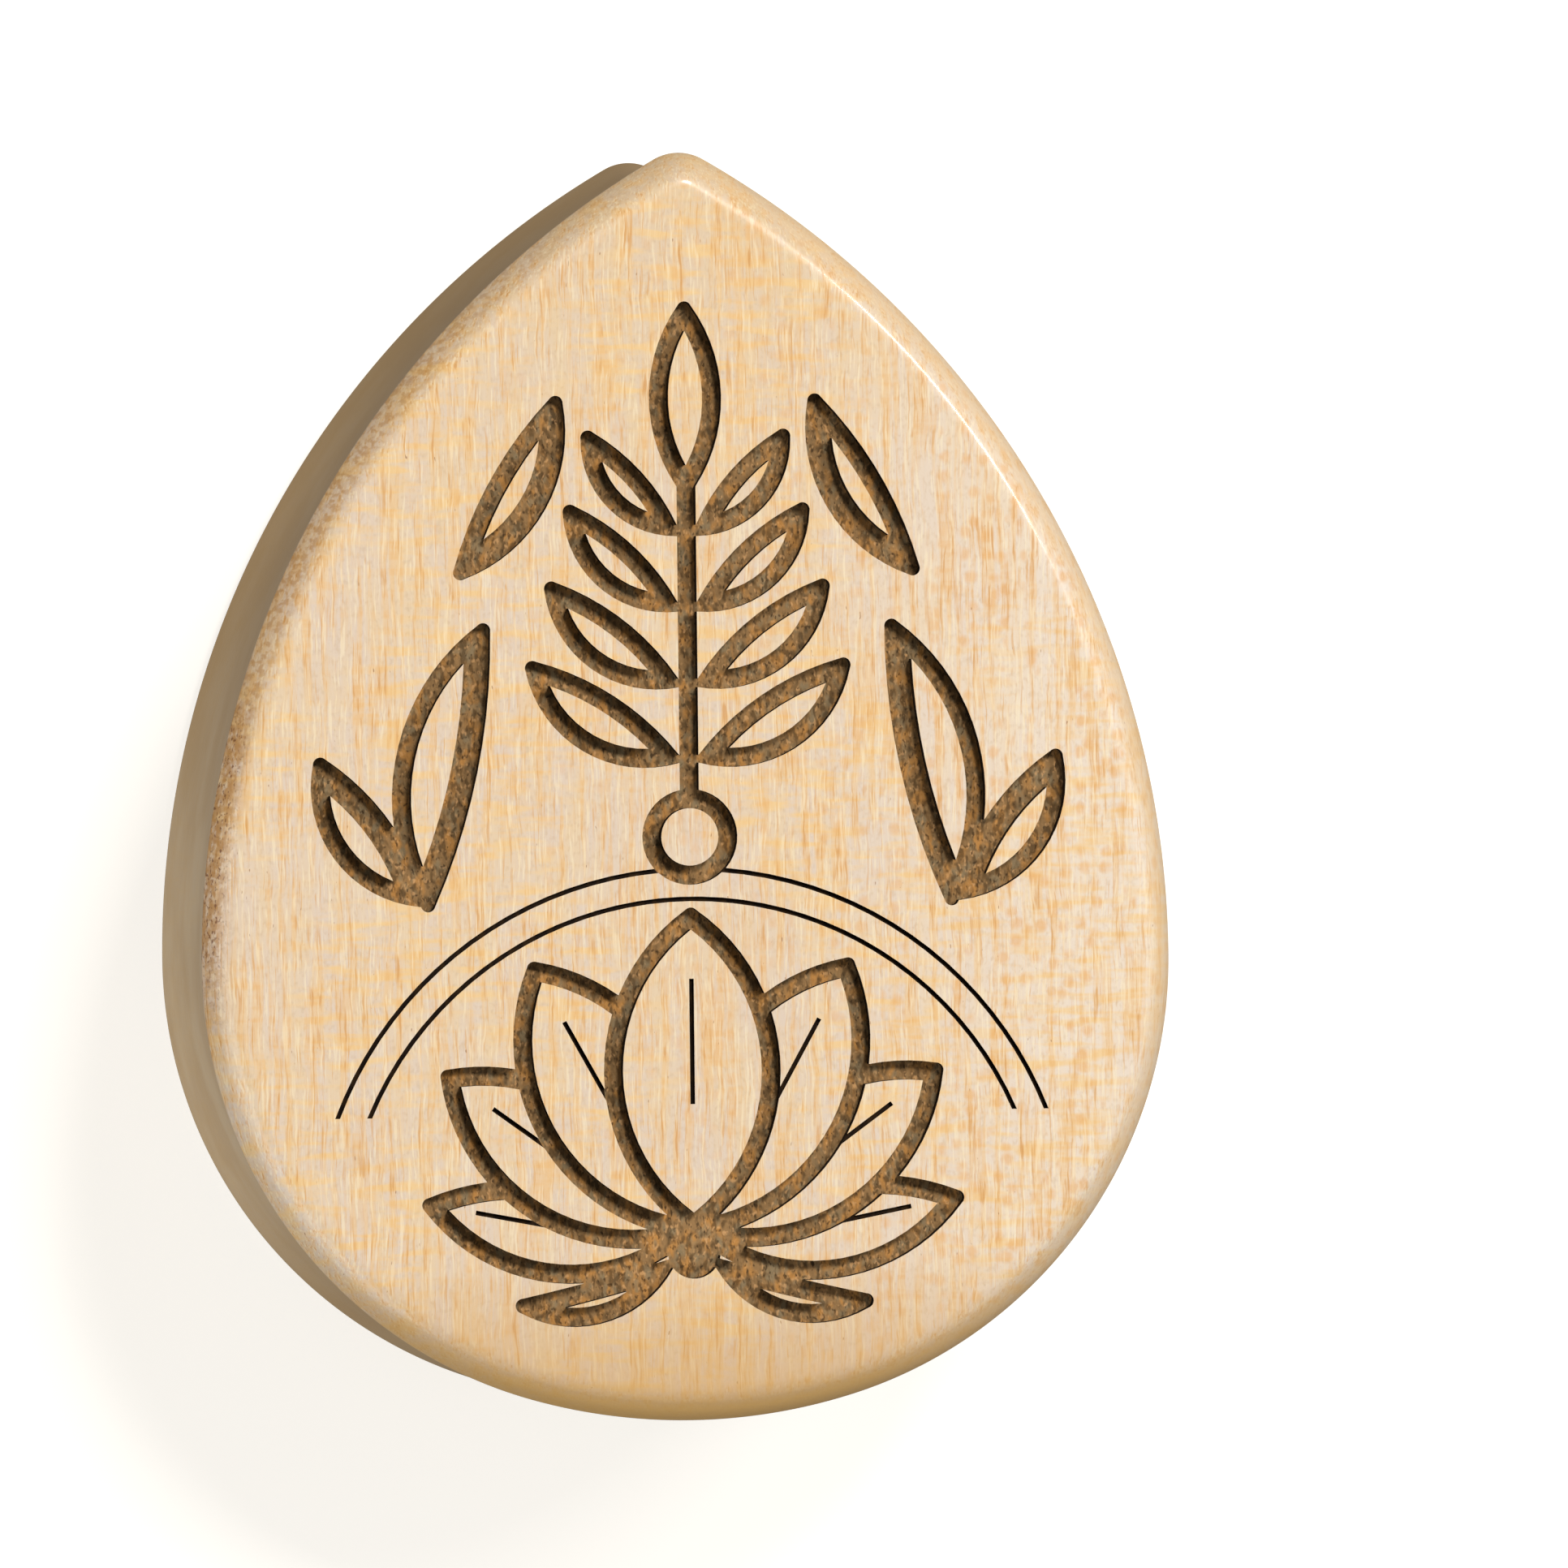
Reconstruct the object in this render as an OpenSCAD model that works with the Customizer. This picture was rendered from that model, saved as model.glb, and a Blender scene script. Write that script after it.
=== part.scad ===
// Teardrop ear plug: one piece of pale wood, flared at both ends, with a burned engraving on its face.
// It lies on its back face: the engraved face looks along +Z and the tip points along +Y.

/* [Outline] */
// Width of the waist, which is the gauge that the lobe takes
gauge_w = 28; // [25:0.5:30]
// How far the flares stand out past the waist
flare_rise = 0.75; // [0.5:0.05:1]
// Radius of the long sides, at the flares
side_r = 28; // [26:0.1:32]
// Radius of the tip, at the flares
tip_r = 1.5; // [1.3:0.1:2.4]
// How much larger the radius of the foot is than the radius of the lower corners
foot_step = 3.5; // [2:0.5:6]

/* [Depth] */
// Distance from the back face to the engraved face
plug_t = 14.3; // [12:0.1:18]
// Width of the lip round each face
lip_w = 0.8; // [0.5:0.05:1.1]
// Depth of the lip, from the face down to the widest line
lip_h = 1; // [0.7:0.05:1.5]
// Radius of the rounding across the lip
lip_r = 2.4; // [1:0.1:3]
// Depth of the flat edge between the lip and the hollow of the waist
land_h = 0.1; // [0.05:0.05:0.5]

/* [Engraving] */
// Bare wood between the engraving and the lip at each side
side_margin = 4.6; // [3:0.1:6]
// Bare wood between the engraving and the lip at the tip
tip_margin = 3; // [1.5:0.1:6]
// Bare wood between the engraving and the lip at the foot
foot_margin = 1.6; // [1:0.1:4]
// Width of a groove
groove_w = 0.58; // [0.4:0.02:0.62]
// Width of a groove along the shaded edge of a free leaf
shade_w = 0.8; // [0.4:0.02:0.9]
// Depth of a groove
groove_h = 0.5; // [0.2:0.05:0.8]
// Radius of the rounded ends of the leaves and petals
end_r = 0.22; // [0.16:0.01:0.3]
// Width of a hairline
hair_w = 0.14; // [0.1:0.02:0.2]
// Depth of a hairline
hair_h = 0.15; // [0.1:0.05:0.3]
// Pairs of leaves on the sprig
leaf_pairs = 4; // [2:1:5]

/* [Hidden] */
$fn = 96;

// Outline, with the widest line at y = 0. Each disc is named for the arc that it gives.
// The line through the corner and foot centres leans 7 in 24, so neighbouring discs meet exactly.
half_w = gauge_w / 2 + flare_rise;
corner_centre = [0.28 * foot_step, 0];
corner_r = half_w - corner_centre.x;
foot_centre = [0, 0.96 * foot_step];
foot_r = corner_r + foot_step;
foot_y = foot_centre.y - foot_r;
side_centre = [half_w - side_r, 0];
join_reach = corner_centre + half_w * [1.12, -3.84];

// The tip's disc stands a hair proud of the sides, so that it crosses them cleanly
tip_proud = 0.004;
tip_centre = [0, sqrt(pow(side_r - tip_r + tip_proud, 2) - pow(side_centre.x, 2))];
tip_reach = 2 * tip_centre - side_centre;
tip_y = tip_centre.y + tip_r;

// The origin is the middle of the outline's box
middle_y = (tip_y + foot_y) / 2;

// Hollow of the waist, and rounding of the lip
hollow_h = plug_t - 2 * lip_h - 2 * land_h;
hollow_r = (pow(hollow_h / 2, 2) + pow(flare_rise, 2)) / (2 * flare_rise);
lip_slope = [lip_w, lip_h];
lip_sink = sqrt(pow(lip_r, 2) - pow(norm(lip_slope) / 2, 2));

// Box of the engraving
art_w = 2 * (half_w - lip_w - side_margin);
art_foot = foot_y + lip_w + foot_margin;
art_h = tip_y - lip_w - tip_margin - art_foot;
above = 1;

// A round end stands a hair proud of the edges that it joins, as the tip does
end_proud = 0.003;

// A blade is the shape between two arcs over one chord. A row gives its turn from upright in degrees,
// its length as a share of art_h, how far its edges bow out as shares of the length,
// and for a free blade its foot, as shares of art_w and art_h
TURN = 0;
LENGTH = 1;
BOW = 2;
BACK = 3;
FOOT_X = 4;
FOOT_Y = 5;

// Petals of the lotus, from the front one to the ones behind it
PETALS = [
    [0, 0.31, 0.27, -0.27],
    [29, 0.3, 0.25, -0.25],
    [54, 0.28, 0.23, -0.22],
    [79, 0.25, 0.21, -0.16],
    [104, 0.17, 0.25, 0.01],
];
lotus_y = art_foot + 0.085 * art_h;
// The petals start a little way out from the middle of a round seat
seat_r = 0.025 * art_h;
foot_gap = 0.015 * art_h;

// Free leaves at the right of the sprig, in front of the ones after them
FREE_LEAVES = [
    [-12, 0.29, 0.21, -0.06, 0.425, 0.4],
    [36, 0.18, 0.25, -0.1, 0.424, 0.412],
    [-30, 0.21, 0.07, -0.21, 0.385, 0.715],
];

// Sprig above the lotus, which stands on a ring
ring_r = 0.045 * art_h;
ring_y = lotus_y + 0.345 * art_h + ring_r;
sprig_foot = ring_y + ring_r - groove_w / 2;
sprig_top = art_foot + 0.81 * art_h;
CROWN = [0, 0.19, 0.18, -0.18];
LOW_LEAF = [57, 0.18, 0.24, -0.09];
HIGH_LEAF = [42, 0.14, 0.24, -0.09];
leaf_gap = 0.035 * art_h;

// Hairlines: a vein in each of the front petals, from and to shares of its length,
// and rounds behind the lotus, whose radii and lower ends above lotus_y are shares of art_h
VEINED = 4;
VEIN_FROM = 0.4;
VEIN_TO = 0.78;
ROUNDS = [0.334, 0.362];
ROUNDS_FROM = 0.13;

function arc_r(chord, rise) = (pow(chord, 2) / 4 + pow(rise, 2)) / (2 * abs(rise));
function arc_x(chord, rise) = rise - sign(rise) * arc_r(chord, rise);
function between(a, b, t) = a + (b - a) * t;

module arc_disc(chord, rise, inset) {
    translate([arc_x(chord, rise), chord / 2]) circle(r = arc_r(chord, rise) - inset);
}

module lens(chord, rise, other_rise, inset, other_inset) {
    if (rise * other_rise < 0)
        intersection() {
            arc_disc(chord, rise, inset);
            arc_disc(chord, other_rise, other_inset);
        }
    else
        difference() {
            arc_disc(chord, rise, inset);
            arc_disc(chord, other_rise, -other_inset);
        }
}

// Where a circle of end_r touches both edges of a blade, on the side of its point or of its foot
function end_centre(chord, rise, other_rise, up) =
    let (x = arc_x(chord, rise))
    let (other_x = arc_x(chord, other_rise))
    let (reach = arc_r(chord, rise) - end_r)
    let (other_reach = arc_r(chord, other_rise) + sign(rise * other_rise) * end_r)
    let (across = (pow(reach, 2) - pow(other_reach, 2) - pow(x, 2) + pow(other_x, 2)) / (2 * (other_x - x)))
    [across, chord / 2 + up * sqrt(pow(reach, 2) - pow(across - x, 2))];

function edge_point(centre, chord, rise) =
    let (middle = [arc_x(chord, rise), chord / 2])
    middle + (centre - middle) * arc_r(chord, rise) / norm(centre - middle);

module round_end(chord, rise, other_rise, up) {
    centre = end_centre(chord, rise, other_rise, up);
    point = [0, up > 0 ? chord : 0];
    difference() {
        children();
        polygon([
            centre,
            2 * edge_point(centre, chord, rise) - centre,
            2 * point - centre,
            2 * edge_point(centre, chord, other_rise) - centre,
        ]);
    }
    translate(centre) circle(r = end_r + end_proud);
}

// A side of 1 draws a blade as its row gives it, and -1 its mirror image
module blade(row, side) {
    chord = row[LENGTH] * art_h;
    rise = side * row[BOW] * chord;
    other_rise = side * row[BACK] * chord;
    rotate(-side * row[TURN])
        round_end(chord, rise, other_rise, 1)
            if (len(row) > FOOT_X)
                round_end(chord, rise, other_rise, -1) lens(chord, rise, other_rise, 0, 0);
            else
                lens(chord, rise, other_rise, 0, 0);
}

module rim(row, side, back_w) {
    chord = row[LENGTH] * art_h;
    difference() {
        blade(row, side);
        rotate(-side * row[TURN])
            lens(chord, side * row[BOW] * chord, side * row[BACK] * chord, groove_w, back_w);
    }
}

module petal_foot(row, side) {
    translate([side * foot_gap * sin(row[TURN]), lotus_y + foot_gap * cos(row[TURN])]) children();
}

module petals(count) {
    for (i = [0:1:count - 1])
        for (side = [-1, 1])
            petal_foot(PETALS[i], side) blade(PETALS[i], side);
}

module lotus() {
    translate([0, lotus_y]) circle(r = seat_r);
    for (i = [0:len(PETALS) - 1])
        difference() {
            for (side = [-1, 1])
                petal_foot(PETALS[i], side) rim(PETALS[i], side, groove_w);
            petals(i);
        }
}

module veins() {
    for (i = [0:VEINED - 1])
        difference() {
            length = PETALS[i][LENGTH] * art_h;
            for (side = [-1, 1])
                petal_foot(PETALS[i], side)
                    rotate(-side * PETALS[i][TURN])
                        translate([-hair_w / 2, VEIN_FROM * length])
                            square([hair_w, (VEIN_TO - VEIN_FROM) * length]);
            petals(i);
        }
}

module leaf_foot(row, side) {
    translate([side * row[FOOT_X] * art_w, art_foot + row[FOOT_Y] * art_h]) children();
}

module leaves(count) {
    for (i = [0:1:count - 1])
        for (side = [-1, 1])
            leaf_foot(FREE_LEAVES[i], side) blade(FREE_LEAVES[i], side);
}

module free_leaves() {
    for (i = [0:len(FREE_LEAVES) - 1])
        difference() {
            for (side = [-1, 1])
                leaf_foot(FREE_LEAVES[i], side) rim(FREE_LEAVES[i], side, shade_w);
            leaves(i);
        }
}

module ring(r, w) {
    difference() {
        circle(r = r);
        circle(r = r - w);
    }
}

module sprig() {
    translate([0, ring_y]) ring(ring_r, groove_w);
    translate([-groove_w / 2, sprig_foot]) square([groove_w, sprig_top - sprig_foot]);
    translate([0, sprig_top - groove_w]) rim(CROWN, 1, groove_w);
    for (i = [0:leaf_pairs - 1]) {
        t = i / (leaf_pairs - 1);
        for (side = [-1, 1])
            translate([side * groove_w / 4, between(sprig_foot + leaf_gap, sprig_top - 1.5 * leaf_gap, t)])
                rim(between(LOW_LEAF, HIGH_LEAF, t), side, groove_w);
    }
}

module grooves() {
    lotus();
    free_leaves();
    sprig();
}

module hairlines() {
    veins();
    difference() {
        translate([0, lotus_y]) for (r = ROUNDS) ring(r * art_h, hair_w);
        petals(len(PETALS));
        leaves(len(FREE_LEAVES));
        translate([0, ring_y]) circle(r = ring_r);
        translate([-art_w, lotus_y - art_h]) square([2 * art_w, (1 + ROUNDS_FROM) * art_h]);
    }
}

module lip_waste(r) {
    middle = [r - lip_w / 2, plug_t - lip_h / 2];
    difference() {
        polygon([
            [r - lip_w, plug_t],
            [r - lip_w, plug_t + above],
            [r + above, plug_t + above],
            [r + above, plug_t - lip_h],
            [r, plug_t - lip_h],
        ]);
        translate(middle - lip_sink * [lip_slope.y, lip_slope.x] / norm(lip_slope)) circle(r = lip_r);
    }
}

module flank_profile(r) {
    difference() {
        square([r, plug_t]);
        translate([r - flare_rise + hollow_r, plug_t / 2]) circle(r = hollow_r);
        lip_waste(r);
        translate([0, plug_t]) mirror([0, 1]) lip_waste(r);
    }
}

module disc(centre, r) {
    translate([centre.x, centre.y, 0]) rotate_extrude() flank_profile(r);
}

module slab(points) {
    translate([0, 0, -above]) linear_extrude(plug_t + 2 * above) polygon(points);
}

module corner() {
    intersection() {
        disc(corner_centre, corner_r);
        slab([corner_centre, join_reach, [-join_reach.y, join_reach.y], [-join_reach.y, 0]]);
    }
}

module foot() {
    intersection() {
        disc(foot_centre, foot_r);
        slab([corner_centre, join_reach, [-join_reach.x, join_reach.y], -corner_centre]);
    }
}

module sides() {
    intersection() {
        disc(side_centre, side_r);
        mirror([1, 0, 0]) disc(side_centre, side_r);
        slab([[-side_r, 0], [side_r, 0], tip_reach, tip_centre, [-tip_reach.x, tip_reach.y]]);
    }
}

module blank() {
    corner();
    mirror([1, 0, 0]) corner();
    foot();
    sides();
    disc(tip_centre, tip_r);
}

module plug_body() color("#e8d2b2")
    translate([0, -middle_y, 0])
        difference() {
            blank();
            translate([0, 0, plug_t - groove_h]) linear_extrude(groove_h + above) grooves();
            translate([0, 0, plug_t - hair_h]) linear_extrude(hair_h + above) hairlines();
        }

plug_body();
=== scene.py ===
"""Teardrop ear plug of pale wood with a burned engraving, lying on its back face on a white light table."""
import math

import bmesh
import bpy
from mathutils import Matrix, Vector


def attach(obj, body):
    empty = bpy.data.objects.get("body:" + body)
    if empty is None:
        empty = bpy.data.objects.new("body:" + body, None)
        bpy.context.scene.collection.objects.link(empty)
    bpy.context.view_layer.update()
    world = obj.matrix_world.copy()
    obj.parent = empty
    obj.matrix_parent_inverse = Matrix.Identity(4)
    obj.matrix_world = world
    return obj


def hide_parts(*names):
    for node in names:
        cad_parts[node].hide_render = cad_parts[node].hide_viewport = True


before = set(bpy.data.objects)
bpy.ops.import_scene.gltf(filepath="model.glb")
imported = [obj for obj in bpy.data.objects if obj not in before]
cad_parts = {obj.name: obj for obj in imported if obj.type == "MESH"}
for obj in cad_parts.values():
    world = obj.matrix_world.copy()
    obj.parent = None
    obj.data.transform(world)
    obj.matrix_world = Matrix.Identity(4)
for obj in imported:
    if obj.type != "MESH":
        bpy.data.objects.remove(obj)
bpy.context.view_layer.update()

MM = 0.001

# The plug's sizes, in millimetres, as the part's source has them
GAUGE_W = 28.0
FLARE_RISE = 0.75
SIDE_R = 28.0
TIP_R = 1.5
FOOT_STEP = 3.5
PLUG_T = 14.3
LIP_W = 0.8
LIP_H = 1.0
LIP_R = 2.4
LAND_H = 0.1
GROOVE_H = 0.5
HAIR_H = 0.15

# Arcs of the outline, with the widest line at y = 0.
# The foot's arc meets a corner's on a line that leans 7 in 24.
HALF_W = GAUGE_W / 2 + FLARE_RISE
CORNER_X = 0.28 * FOOT_STEP
FOOT_Y = 0.96 * FOOT_STEP
FOOT_R = HALF_W - CORNER_X + FOOT_STEP
SIDE_X = HALF_W - SIDE_R
TIP_Y = math.sqrt((SIDE_R - TIP_R) ** 2 - SIDE_X**2)
MIDDLE_Y = (TIP_Y + TIP_R + FOOT_Y - FOOT_R) / 2
SIDE_TURN = math.atan2(TIP_Y, -SIDE_X)
CORNER_TURN = math.atan2(24, 7)

# Straight steps in each arc of the section and of the outline
LIP_STEPS = 4
HOLLOW_STEPS = 24
SIDE_STEPS = 96
TIP_STEPS = 22
CORNER_STEPS = 60
FOOT_STEPS = 30

# The sanded edges: how far the rounding of the edge round each face reaches, and of the edges below each lip.
# Both stay narrower than the steps beside them, so that the rounding never folds over.
FACE_CREASE = 0.22
LIP_CREASE = 0.045
CREASE_STEPS = 3
# Edges of the blank that turn more than this are sanded round
CREASE_ANGLE = math.radians(11)
# Edges of the finished plug that turn more than this stay crisp
CRISP_ANGLE = math.radians(35)
# Width of the level band that is drawn with the rim of each face
FLAT_RIM = 0.35
# Points this close count as one point, or as on a plane
NEAR = 0.001

# How strongly the light table and the studio shine by themselves, with 1 for white
TABLE_GLOW = 0.74
WORLD_GLOW = 0.15
# Half of the table's side, and its height over the plug's back face, in metres
FLOOR_REACH = 1.5
FLOOR_LIFT = 0.01 * MM


# Shape
def spin_point(mesh, start, centre, angle, steps):
    """Draws an arc from a point about a line along Y, clockwise as seen with X right and Z up."""
    made = bmesh.ops.spin(
        mesh, geom=[start], cent=centre, axis=(0, 1, 0), dvec=(0, 0, 0), angle=angle, steps=steps
    )
    return next(item for item in made["geom_last"] if isinstance(item, bmesh.types.BMVert))


def line_to(mesh, start, place):
    """Draws a straight edge from a point, and gives its far end."""
    end = mesh.verts.new(place)
    mesh.edges.new((start, end))
    return end


def draw_flank(mesh):
    """The edge of a section through the flank, from the engraved face down to the back face."""
    chord = math.hypot(LIP_W, LIP_H)
    sink = math.sqrt(LIP_R**2 - (chord / 2) ** 2)
    bend = 2 * math.asin(chord / 2 / LIP_R)
    lip_x = HALF_W - LIP_W / 2 - sink * LIP_H / chord
    lip_z = LIP_H / 2 + sink * LIP_W / chord
    land_z = LIP_H + LAND_H
    hollow = PLUG_T / 2 - land_z
    hollow_r = (hollow**2 + FLARE_RISE**2) / (2 * FLARE_RISE)
    hollow_bend = 2 * math.asin(hollow / hollow_r)

    point = mesh.verts.new((HALF_W - LIP_W - FLAT_RIM, 0, PLUG_T))
    point = line_to(mesh, point, (HALF_W - LIP_W, 0, PLUG_T))
    point = spin_point(mesh, point, (lip_x, 0, PLUG_T - lip_z), bend, LIP_STEPS)
    point = line_to(mesh, point, (HALF_W, 0, PLUG_T - land_z))
    hollow_centre = (HALF_W - FLARE_RISE + hollow_r, 0, PLUG_T / 2)
    point = spin_point(mesh, point, hollow_centre, -hollow_bend, HOLLOW_STEPS)
    point = line_to(mesh, point, (HALF_W, 0, LIP_H))
    point = spin_point(mesh, point, (lip_x, 0, lip_z), bend, LIP_STEPS)
    line_to(mesh, point, (HALF_W - LIP_W - FLAT_RIM, 0, 0))


def sweep_outline(mesh, section):
    """Spins the section round the outline, arc by arc, until it meets its own start."""
    arcs = [
        ((SIDE_X, 0), SIDE_TURN, SIDE_STEPS),
        ((0, TIP_Y), math.pi - 2 * SIDE_TURN, TIP_STEPS),
        ((-SIDE_X, 0), SIDE_TURN, SIDE_STEPS),
        ((-CORNER_X, 0), CORNER_TURN, CORNER_STEPS),
        ((0, FOOT_Y), math.pi - 2 * CORNER_TURN, FOOT_STEPS),
        ((CORNER_X, 0), CORNER_TURN, CORNER_STEPS),
    ]
    last = section
    for centre, angle, steps in arcs:
        made = bmesh.ops.spin(
            mesh, geom=last, cent=(*centre, 0), axis=(0, 0, 1), dvec=(0, 0, 0), angle=angle, steps=steps
        )
        last = made["geom_last"]


def level(edge, *heights):
    """Whether both ends of an edge lie at one of the heights."""
    return any(all(abs(vert.co.z - z) < NEAR for vert in edge.verts) for z in heights)


def shaped_blank():
    """The flank, the lips and a rim of each face, in millimetres, before the faces are filled in."""
    blank = bmesh.new()
    draw_flank(blank)
    sweep_outline(blank, list(blank.verts) + list(blank.edges))
    bmesh.ops.remove_doubles(blank, verts=blank.verts, dist=NEAR)
    creases = [edge for edge in blank.edges if edge.calc_face_angle(0) > CREASE_ANGLE]
    round_faces = [edge for edge in creases if level(edge, 0, PLUG_T)]
    under_lips = [edge for edge in creases if not level(edge, 0, PLUG_T)]
    for edges, reach in ((round_faces, FACE_CREASE), (under_lips, LIP_CREASE)):
        bmesh.ops.bevel(
            blank,
            geom=edges,
            offset=reach,
            segments=CREASE_STEPS,
            profile=0.5,
            affect="EDGES",
            material=-1,
        )
    bmesh.ops.translate(blank, verts=blank.verts, vec=(0, -MIDDLE_Y, 0))
    return blank


def in_engraving(face):
    """The engraving's walls stand upright and its floors are level, where the lip beside them leans."""
    stands = abs(face.normal.z) < 0.1
    lies = face.normal.z > 0.98
    lowest = PLUG_T - GROOVE_H - 0.05
    highest = PLUG_T - 0.005
    return (stands or lies) and lowest < face.calc_center_median().z < highest


# The plug's materials, in their order on it, after the bare wood
BURNED = 1
CHARRED = 2


def carve_plug():
    """The plug, with its engraving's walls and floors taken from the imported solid."""
    mesh = bmesh.new()
    mesh.from_mesh(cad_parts["plug_body"].data)
    bmesh.ops.scale(mesh, verts=mesh.verts, vec=(1 / MM, 1 / MM, 1 / MM))
    bmesh.ops.remove_doubles(mesh, verts=mesh.verts, dist=NEAR / 2)
    rest = [face for face in mesh.faces if not in_engraving(face)]
    bmesh.ops.delete(mesh, geom=rest, context="FACES")
    under_hairlines = PLUG_T - HAIR_H - 0.1
    for face in mesh.faces:
        groove_floor = face.normal.z > 0.5 and face.calc_center_median().z < under_hairlines
        face.material_index = BURNED if groove_floor else CHARRED

    blank = shaped_blank()
    flank = bpy.data.meshes.new("flank")
    blank.to_mesh(flank)
    blank.free()
    mesh.from_mesh(flank)
    bpy.data.meshes.remove(flank)
    for z, normal in ((0, (0, 0, -1)), (PLUG_T, (0, 0, 1))):
        rim = [edge for edge in mesh.edges if edge.is_boundary and level(edge, z)]
        bmesh.ops.triangle_fill(mesh, edges=rim, use_beauty=True, normal=normal)
    bmesh.ops.recalc_face_normals(mesh, faces=mesh.faces)
    for face in mesh.faces:
        face.smooth = True
    for edge in mesh.edges:
        edge.smooth = edge.calc_face_angle(0) < CRISP_ANGLE
    bmesh.ops.scale(mesh, verts=mesh.verts, vec=(MM, MM, MM))
    return mesh


def piece(name, mesh, *materials):
    """Makes an object of a mesh. Its place is in the mesh, so the object stays at the origin."""
    data = bpy.data.meshes.new(name)
    mesh.to_mesh(data)
    mesh.free()
    made = bpy.data.objects.new(name, data)
    bpy.context.scene.collection.objects.link(made)
    for material in materials:
        data.materials.append(material)
    return made


# Materials
def linear(hex_colour):
    """An sRGB hex colour as linear red, green, blue and alpha."""
    parts = [int(hex_colour[i : i + 2], 16) / 255 for i in (1, 3, 5)]
    return (*[c / 12.92 if c <= 0.04045 else ((c + 0.055) / 1.055) ** 2.4 for c in parts], 1)


def add(tree, kind, inputs, **settings):
    """Adds a node, sets its properties and sockets, and links the sockets that are given another's output."""
    made = tree.nodes.new(kind)
    for name, value in settings.items():
        setattr(made, name, value)
    for socket, value in inputs.items():
        if isinstance(value, bpy.types.NodeSocket):
            tree.links.new(value, made.inputs[socket])
        else:
            made.inputs[socket].default_value = value
    return made


def new_material(name):
    material = bpy.data.materials.new(name)
    material.use_nodes = True
    tree = material.node_tree
    tree.nodes.clear()
    return material, tree


def finish_surface(tree, sockets):
    shader = add(tree, "ShaderNodeBsdfPrincipled", sockets)
    add(tree, "ShaderNodeOutputMaterial", {"Surface": shader.outputs[0]})


def marks(tree, place, size, start, full, shift=0.0, detail=1.0):
    """Soft marks about as wide, long and deep as size in mm: 0 where the noise is below start, 1 above full.

    A shift gives other marks of the same kind, and detail their raggedness.
    """
    spread = add(tree, "ShaderNodeMapping", {
        "Vector": place,
        "Location": (shift, shift, shift),
        "Scale": [0.5 / length for length in size],
    })
    noise = add(tree, "ShaderNodeTexNoise", {"Vector": spread.outputs[0], "Scale": 1.0, "Detail": detail})
    strength = {"Value": noise.outputs[0], "From Min": start, "From Max": full}
    return add(tree, "ShaderNodeMapRange", strength).outputs[0]


def spots(tree, place, apart, size):
    """Round spots with soft edges, about so far apart and so wide in mm: 1 in each middle, 0 between them."""
    cells = add(tree, "ShaderNodeTexVoronoi", {"Vector": place, "Scale": 1 / apart, "Randomness": 0.8})
    edge = size / 2 / apart
    strength = {"Value": cells.outputs["Distance"], "From Min": 1.3 * edge, "From Max": 0.6 * edge}
    return add(tree, "ShaderNodeMapRange", strength).outputs[0]


def past(tree, place, axis, start, full):
    """Runs from 0 to 1 while a place goes from start to full along an axis, in mm."""
    parts = add(tree, "ShaderNodeSeparateXYZ", {"Vector": place})
    share = {"Value": parts.outputs[axis], "From Min": start, "From Max": full}
    return add(tree, "ShaderNodeMapRange", share).outputs[0]


def tint(tree, colour, hex_colour, strength, *amounts):
    """Lays a colour over another, as strongly as the strength times all the amounts, each from 0 to 1."""
    factor = strength
    for amount in amounts:
        factor = add(tree, "ShaderNodeMath", {0: factor, 1: amount}, operation="MULTIPLY").outputs[0]
    under = linear(colour) if isinstance(colour, str) else colour
    # Sockets 6 and 7 are the two colours
    layers = {"Factor": factor, 6: under, 7: linear(hex_colour)}
    return add(tree, "ShaderNodeMix", layers, data_type="RGBA").outputs[2]


def millimetres(tree):
    place = add(tree, "ShaderNodeTexCoord", {})
    return add(tree, "ShaderNodeMapping", {
        "Vector": place.outputs["Object"], "Scale": (1 / MM, 1 / MM, 1 / MM),
    }).outputs[0]


def wavering(tree, place, sideways, length):
    """Moves a place in mm, so that lines along the grain waver by about so much sideways over a length."""
    noise = add(tree, "ShaderNodeTexNoise", {"Vector": place, "Scale": 0.5 / length, "Detail": 3.0})
    sway = add(tree, "ShaderNodeVectorMath", {
        0: noise.outputs["Color"], 1: (0.5, 0.5, 0.5),
    }, operation="SUBTRACT")
    return add(tree, "ShaderNodeVectorMath", {
        0: sway.outputs[0], 1: (4 * sideways, 0, 4 * sideways), 2: place,
    }, operation="MULTIPLY_ADD").outputs[0]


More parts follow.
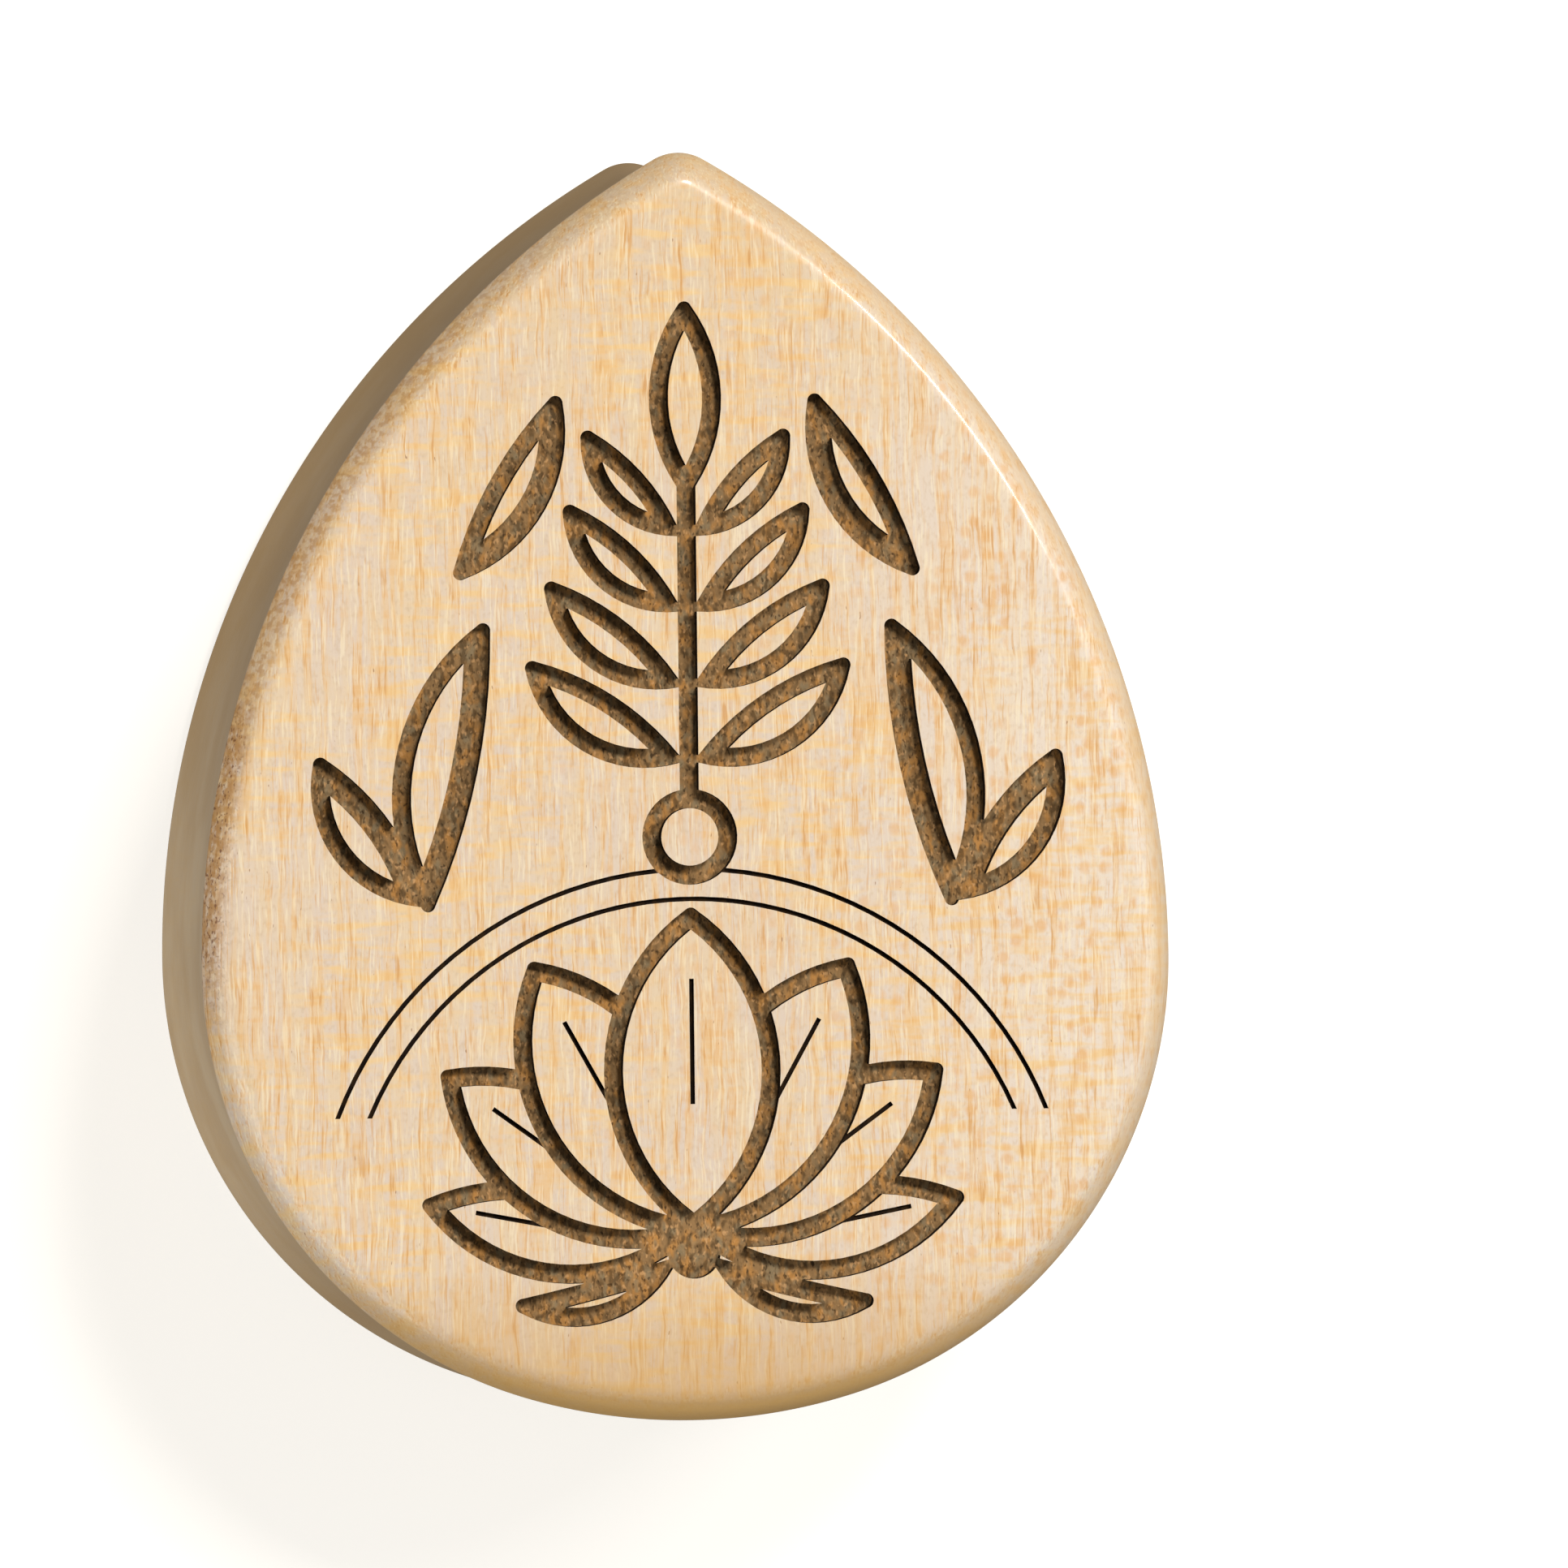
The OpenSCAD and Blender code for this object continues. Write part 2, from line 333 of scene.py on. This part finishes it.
def pale_wood():
    """A light, fine-pored tropical hardwood such as satinwood, shaped, fine-sanded and oiled.

    Its grain runs along Y. Sanding leaves cream wood with a silky low gloss, yellow dabs across the grain,
    orange spots and streaks in columns along it, wavering fibres and short pores. Real fibres are about
    0.02 mm wide, too fine to show, so they are drawn at 0.035 to 0.045 mm.
    """
    material, tree = new_material("pale_sanded_wood")
    exact = millimetres(tree)
    place = wavering(tree, exact, 0.06, 1.0)

    # Cream and warm patches, warmer towards the tip and lighter at the right, and faint grit
    patches = marks(tree, place, (0.3, 1.8, 0.3), 0.42, 0.64, shift=11, detail=3)
    colour = tint(tree, "#DFCAB4", "#E7CA9E", 0.6, patches)
    colour = tint(tree, colour, "#E0BE86", 0.35, past(tree, exact, "Y", 6.0, 18.0))
    colour = tint(tree, colour, "#F0E0CC", 0.6, past(tree, exact, "X", 3.0, 12.0))
    grit = marks(tree, place, (0.06, 0.1, 0.06), 0.5, 0.75, shift=47)
    colour = tint(tree, colour, "#C9A87E", 0.35, grit)

    # Golden columns along the grain, and dabs across it
    columns = marks(tree, place, (0.13, 2.4, 0.13), 0.48, 0.62, shift=17, detail=3)
    colour = tint(tree, colour, "#EBC084", 0.55, columns)
    figured = marks(tree, place, (2.6, 3.2, 2.6), 0.34, 0.54, shift=4)
    dabs = marks(tree, place, (0.8, 0.16, 0.6), 0.46, 0.66, shift=7, detail=2)
    colour = tint(tree, colour, "#F0C887", 0.8, dabs, figured)
    colour = tint(tree, colour, "#E3A961", 0.45, dabs, columns)

    # Round orange spots in rows along the grain, more of them to the right
    rows = marks(tree, place, (0.25, 6.0, 0.25), 0.4, 0.54, shift=37)
    round_spots = spots(tree, wavering(tree, exact, 0.05, 0.12), 0.56, 0.38)
    to_right = past(tree, exact, "X", -12.0, 13.0)
    colour = tint(tree, colour, "#E6AC64", 0.65, round_spots, rows, to_right)

    # Fine dark threads, some with a painted highlight along one side, and a few dark pores
    threads = marks(tree, place, (0.035, 0.7, 0.035), 0.54, 0.66, shift=19, detail=2)
    colour = tint(tree, colour, "#D0924A", 0.7, columns, threads)
    more_threads = marks(tree, place, (0.035, 0.9, 0.035), 0.6, 0.7, shift=29, detail=2)
    colour = tint(tree, colour, "#D79C54", 0.55, more_threads)
    # Painted highlight: a pale copy of the threads beside them, as if each one stood up in the light
    beside = add(tree, "ShaderNodeVectorMath", {0: place, 1: (0.045, 0, 0.045)}, operation="ADD").outputs[0]
    thread_highlights = marks(tree, beside, (0.035, 0.7, 0.035), 0.54, 0.66, shift=19, detail=2)
    colour = tint(tree, colour, "#FCEBC4", 0.42, thread_highlights)
    pores = marks(tree, place, (0.04, 0.16, 0.04), 0.78, 0.82, shift=31)
    colour = tint(tree, colour, "#925C2C", 0.7, pores)

    # Both faces and their lips are finished alike, so heights count from the middle of the thickness
    from_middle = {0: exact, 1: (0, 0, PLUG_T / 2)}
    off_middle = add(tree, "ShaderNodeVectorMath", from_middle, operation="SUBTRACT").outputs[0]
    off_middle = add(tree, "ShaderNodeVectorMath", {0: off_middle}, operation="ABSOLUTE").outputs[0]
    face_z = PLUG_T / 2
    lip_z = face_z - LIP_H
    below_face = past(tree, off_middle, "Z", face_z - 0.03, face_z - 0.4)
    on_flank = past(tree, off_middle, "Z", lip_z, lip_z - 0.1)
    on_lip = past(tree, off_middle, "Z", lip_z - 0.1, lip_z)
    to_left = past(tree, exact, "X", 1.0, -9.0)
    near_foot = past(tree, exact, "Y", -14.0, -19.0)
    above_foot = past(tree, exact, "Y", -9.0, -3.0)

    # The lip is painted lighter on the right, a painted highlight where the light falls on it,
    # and on the left it is darker, and speckled where it was sanded across the pores.
    # Towards the foot the wood is painted darker and yellower as painted shade, and its lip there a lighter
    # yellow.
    # Painted highlight: the lip lighter on its right-hand side
    colour = tint(tree, colour, "#F4D0A0", 0.5, below_face, past(tree, exact, "X", -4.0, 4.0))
    colour = tint(tree, colour, "#BC8D4E", 0.25, below_face, on_lip, to_left, above_foot)
    speckles = marks(tree, exact, (0.13, 0.1, 0.13), 0.46, 0.6, shift=53, detail=2)
    colour = tint(tree, colour, "#B57C34", 0.52, below_face, on_lip, to_left, above_foot, speckles)
    # Painted shade: darker and yellower towards the foot, with the lip there lighter again
    colour = tint(tree, colour, "#C99C5C", 0.75, near_foot)
    colour = tint(tree, colour, "#E9B866", 0.65, below_face, on_lip, near_foot)

    # The flank is smoother and a dull straw colour, yellower towards the tip and browner close to it,
    # and painted darker and browner towards the foot as painted shade
    colour = tint(tree, colour, "#E2C497", 0.85, on_flank)
    clouds = marks(tree, exact, (1.2, 2.0, 0.8), 0.4, 0.62, shift=5, detail=2)
    colour = tint(tree, colour, "#CFA974", 0.5, on_flank, clouds)
    colour = tint(tree, colour, "#BC8F48", 0.5, on_flank, past(tree, exact, "Y", -2.0, 5.0))
    colour = tint(tree, colour, "#9C7638", 0.35, on_flank, past(tree, exact, "Y", 9.0, 15.0))
    # Painted shade: the flank darker towards the foot
    colour = tint(tree, colour, "#A87E3A", 0.55, on_flank, past(tree, exact, "Y", -11.0, -16.0))

    # Short dark flecks along the left of the lip
    flecked = [
        below_face,
        on_lip,
        past(tree, exact, "X", -12.8, -13.6),
        past(tree, exact, "Y", -7.5, -4.5),
        past(tree, exact, "Y", 4.5, 1.5),
    ]
    orange_flecks = marks(tree, exact, (0.1, 0.15, 0.1), 0.4, 0.56, shift=3, detail=2)
    colour = tint(tree, colour, "#B98544", 0.75, orange_flecks, *flecked)
    brown_flecks = marks(tree, exact, (0.05, 0.07, 0.05), 0.56, 0.68, shift=9, detail=2)
    colour = tint(tree, colour, "#74431A", 0.85, brown_flecks, *flecked)

    fibres = marks(tree, place, (0.045, 0.7, 0.045), 0.3, 0.7, shift=23)
    bump = add(tree, "ShaderNodeBump", {"Strength": 0.3, "Distance": 0.01 * MM, "Height": fibres})
    finish_surface(tree, {
        "Base Color": colour,
        "Roughness": 0.4,
        "Specular IOR Level": 0.45,
        "Coat Weight": 0.55,
        "Coat Roughness": 0.13,
        "Coat IOR": 1.5,
        "Normal": bump.outputs[0],
    })
    return material


def burned_wood():
    """The same wood where a laser has eaten it away: brown, gritty and dull, with orange and grey specks."""
    material, tree = new_material("laser_burned_wood")
    place = wavering(tree, millimetres(tree), 0.04, 0.3)
    orange = marks(tree, place, (0.16, 0.34, 0.16), 0.47, 0.64, shift=19)
    colour = tint(tree, "#9A764B", "#C68B48", 0.85, orange)
    grey = marks(tree, place, (0.14, 0.22, 0.14), 0.5, 0.66, shift=41)
    colour = tint(tree, colour, "#8C7F62", 0.6, grey)
    brown = marks(tree, place, (0.08, 0.16, 0.08), 0.48, 0.64, shift=5)
    colour = tint(tree, colour, "#5C4427", 0.75, brown)
    bare = marks(tree, place, (0.06, 0.1, 0.06), 0.58, 0.7, shift=13)
    colour = tint(tree, colour, "#DDA86F", 0.6, bare)
    soot = marks(tree, place, (0.05, 0.09, 0.05), 0.6, 0.7, shift=29)
    colour = tint(tree, colour, "#3A2916", 0.7, soot)
    grit = marks(tree, place, (0.07, 0.12, 0.07), 0.3, 0.7, shift=37)
    bump = add(tree, "ShaderNodeBump", {"Strength": 0.7, "Distance": 0.04 * MM, "Height": grit})
    finish_surface(tree, {
        "Base Color": colour, "Roughness": 0.85, "Specular IOR Level": 0.2, "Normal": bump.outputs[0],
    })
    return material


def charred_wood():
    """The walls of the grooves and the hairlines, where the laser's edge left soot: near black and dull."""
    material, tree = new_material("laser_charred_wood")
    place = millimetres(tree)
    browner = marks(tree, place, (0.12, 0.3, 0.12), 0.45, 0.65, shift=5)
    colour = tint(tree, "#1C120A", "#36240F", 0.8, browner)
    finish_surface(tree, {"Base Color": colour, "Roughness": 0.9, "Specular IOR Level": 0.15})
    return material


def table_top():
    """A photographer's light table of matt white plastic, lit from below, so that shadows stay pale."""
    material, tree = new_material("white_light_table")
    place = millimetres(tree)
    colour = tint(tree, "#B8B4AD", "#B3AFA8", 1.0, marks(tree, place, (30, 30, 30), 0.35, 0.65))
    finish_surface(tree, {
        "Base Color": colour,
        "Roughness": 0.9,
        "Specular IOR Level": 0.1,
        "Emission Color": linear("#FFFDF8"),
        "Emission Strength": TABLE_GLOW,
    })
    return material


plug = piece("plug", carve_plug(), pale_wood(), burned_wood(), charred_wood())
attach(plug, "root")
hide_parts("plug_body")

# Floor
ground = bmesh.new()
bmesh.ops.create_grid(ground, x_segments=1, y_segments=1, size=FLOOR_REACH)
# A hair above the plug's back face, so that the two don't lie in one plane in a view from below
bmesh.ops.translate(ground, verts=ground.verts, vec=(0, 0, FLOOR_LIFT))
floor = piece("floor", ground, table_top())
# The photograph's background is cut out in white beside a dim flank, so the table's light spares the plug
floor.visible_diffuse = False
floor.visible_glossy = False


# Camera and light
def turned(axis, degrees):
    return Matrix.Rotation(math.radians(degrees), 3, axis)


# The photograph's view of the face, in degrees: from how far left of its normal and how far towards the tip
# it is taken, and how far the tip leans left in the picture
VIEW_LEFT = 7.21
VIEW_UP = 1.22
LEAN = 0.64
# The photograph's side, its lens, and where the widest line's middle lies in it, in pixels
PHOTO_SIDE = 1932
FOCAL = 21400
CENTRE_PIXEL = (815, 1179)
# The camera's distance from there, and the width of its film, in millimetres
CAMERA_AWAY = 531.7
SENSOR = 36.0

to_view = turned("Z", LEAN) @ turned("X", VIEW_UP) @ turned("Y", VIEW_LEFT)
plug_centre = Vector((0, -MIDDLE_Y, PLUG_T / 2)) * MM
pan = math.degrees(math.atan((PHOTO_SIDE / 2 - CENTRE_PIXEL[0]) / FOCAL))
tilt = math.degrees(math.atan((CENTRE_PIXEL[1] - PHOTO_SIDE / 2) / FOCAL))
camera = bpy.data.objects.new("camera", bpy.data.cameras.new("camera"))
camera.data.sensor_width = SENSOR
camera.data.lens = SENSOR * FOCAL / PHOTO_SIDE
spot = plug_centre + to_view.transposed() @ Vector((0, 0, CAMERA_AWAY * MM))
aim = to_view.transposed() @ turned("Y", -pan) @ turned("X", tilt)
camera.matrix_world = Matrix.Translation(spot) @ aim.to_4x4()
bpy.context.scene.collection.objects.link(camera)
bpy.context.scene.camera = camera


def soft_light(name, toward, away, width, height, watts):
    """A flat white light at a distance in mm from the plug, in the direction given, that faces the plug."""
    data = bpy.data.lights.new(name, "AREA")
    data.shape = "RECTANGLE"
    data.size = width * MM
    data.size_y = height * MM
    data.energy = watts
    lamp = bpy.data.objects.new(name, data)
    toward = Vector(toward).normalized()
    # Its height runs level, round the plug
    level_line = Vector((0, 0, 1)).cross(toward).normalized()
    turn = Matrix((level_line.cross(toward), level_line, toward)).transposed()
    lamp.matrix_world = Matrix.Translation(plug_centre + toward * away * MM) @ turn.to_4x4()
    bpy.context.scene.collection.objects.link(lamp)


# The key shades the grooves from the tip's side, the softbox draws the bright line on the edge of the face,
# and two low lights reach the flanks. Those are wide, so that the oiled face doesn't mirror them as white.
soft_light("key", (0.22, 0.47, 0.855), 1000, 180, 180, 5.3)
soft_light("edge_softbox", (0.55, 0.35, 0.76), 1000, 160, 200, 2.9)
soft_light("left_fill", (-0.88, -0.4, 0.36), 500, 420, 700, 1.8)
soft_light("right_fill", (0.9, 0.1, 0.42), 500, 600, 600, 0.8)

# From straight below. The table keeps it off all but the back face, so it shows in views from below alone.
back_light = bpy.data.lights.new("back_light", "SUN")
back_light.energy = 1.9
back_light.angle = 0
back_lamp = bpy.data.objects.new("back_light", back_light)
back_lamp.matrix_world = Matrix.Rotation(math.pi, 4, "X")
bpy.context.scene.collection.objects.link(back_lamp)

world = bpy.data.worlds.new("studio")
world.use_nodes = True
world.node_tree.nodes["Background"].inputs["Color"].default_value = linear("#FFFFFF")
world.node_tree.nodes["Background"].inputs["Strength"].default_value = WORLD_GLOW
bpy.context.scene.world = world
bpy.context.scene.view_settings.view_transform = "Standard"
